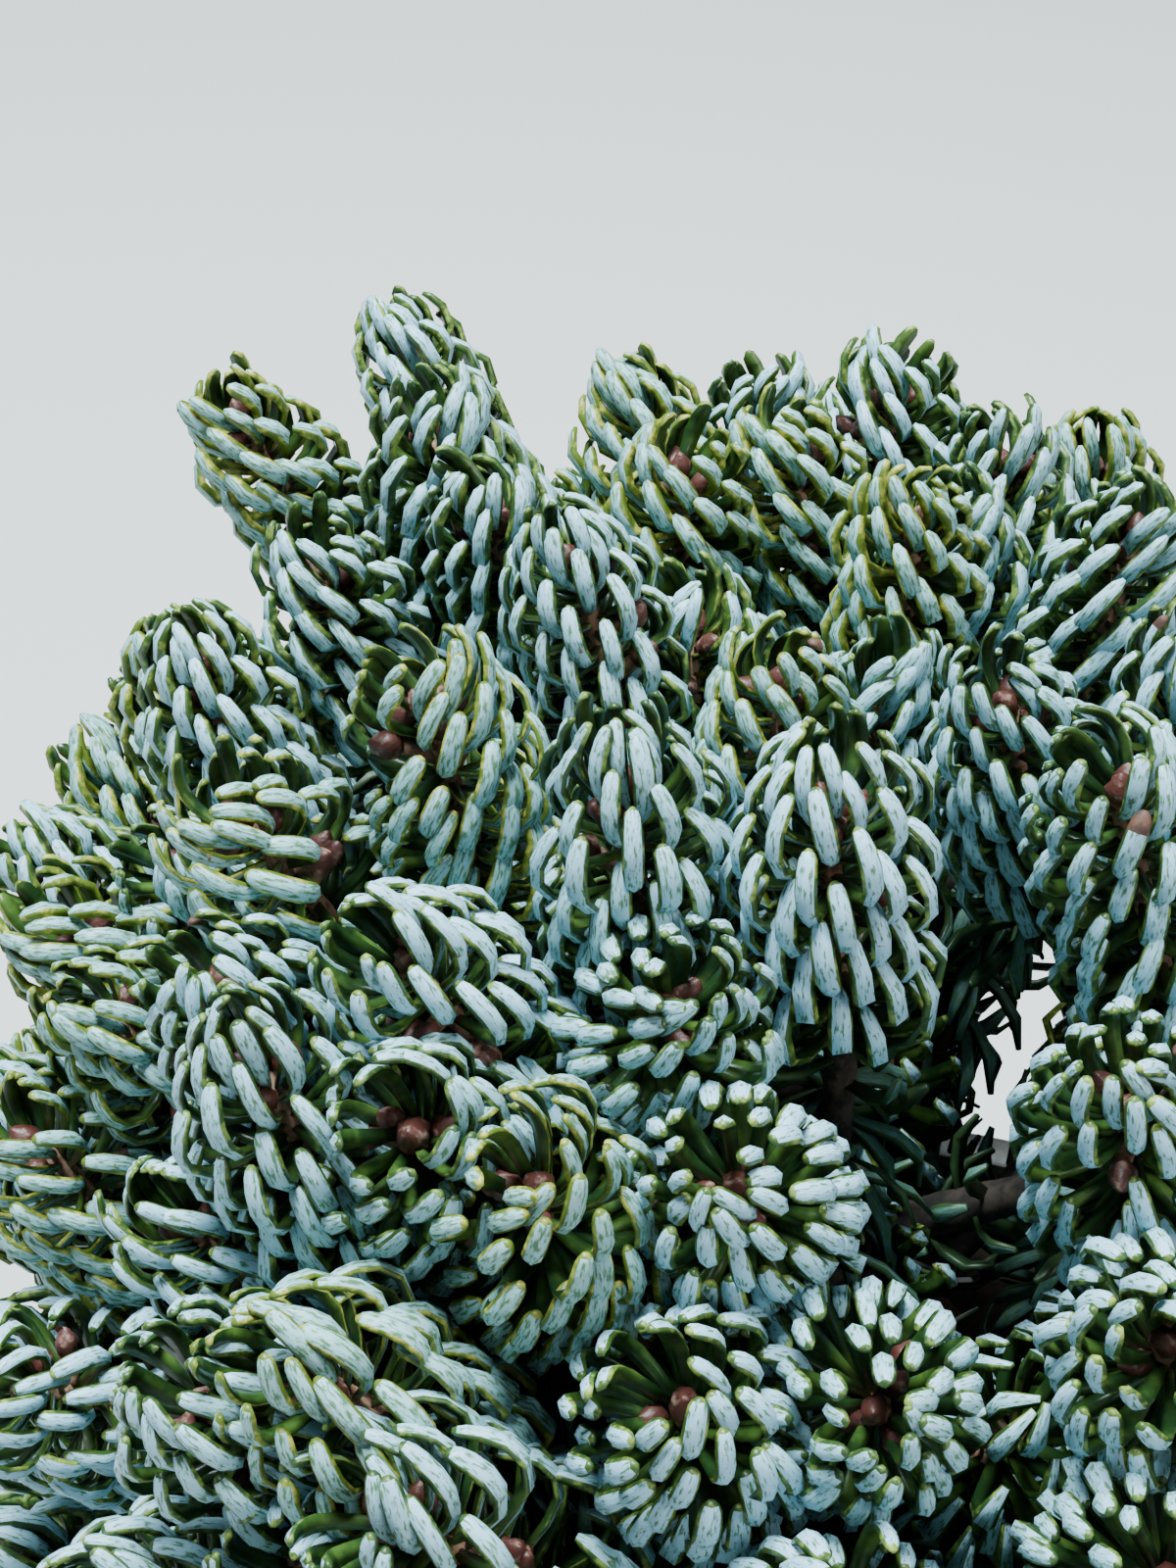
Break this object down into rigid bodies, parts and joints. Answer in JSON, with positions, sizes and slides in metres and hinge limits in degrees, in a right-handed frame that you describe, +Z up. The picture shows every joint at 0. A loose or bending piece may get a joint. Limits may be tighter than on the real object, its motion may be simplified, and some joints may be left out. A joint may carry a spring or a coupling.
{
  "type": "potted conifer",
  "caption": "Dwarf Korean fir: a low rounded crown of upright silvery shoots on a short leaning stem with spreading boughs, in a round tapered nursery pot with a rolled rim.",
  "frame": {"origin": "centre of the pot's flat underside", "axes": "+Z up, along the axis of the pot; -Y is the side the picture is taken from, above and in front; +X is to the right seen from there"},
  "size_m": [0.2292, 0.2267, 0.336],
  "materials": {
    "pot": "satin black moulded plastic, dusty grey at the rim",
    "soil": "matt crumbly potting mix with bark chips",
    "bark": "dull grey-brown bark",
    "foliage": "silvery blue waxy needles with green inner faces"
  },
  "bodies": {
    "root": {"bough_01": "bark", "bough_03": "bark", "bough_04": "bark", "bough_05": "bark", "bough_06": "bark", "bough_07": "bark", "bough_08": "bark", "bough_09": "bark", "bough_10": "bark", "bough_11": "bark", "bough_12": "bark", "bough_13": "bark", "bough_14": "bark", "bough_15": "bark", "bough_16": "bark", "bough_17": "bark", "bough_18": "bark", "bough_19": "bark", "bough_20": "bark", "bough_21": "bark", "bough_22": "bark", "bough_23": "bark", "bough_24": "bark", "bough_25": "bark", "foliage_01": "foliage", "foliage_02": "foliage", "foliage_03": "foliage", "foliage_04": "foliage", "foliage_05": "foliage", "foliage_06": "foliage", "foliage_07": "foliage", "foliage_08": "foliage", "foliage_09": "foliage", "foliage_10": "foliage", "foliage_11": "foliage", "foliage_12": "foliage", "foliage_13": "foliage", "foliage_14": "foliage", "foliage_15": "foliage", "foliage_16": "foliage", "foliage_17": "foliage", "foliage_18": "foliage", "foliage_19": "foliage", "foliage_20": "foliage", "foliage_21": "foliage", "foliage_22": "foliage", "foliage_23": "foliage", "foliage_24": "foliage", "foliage_25": "foliage", "pot": "pot", "soil": "soil", "trunk": "bark"}
  },
  "joints": []
}
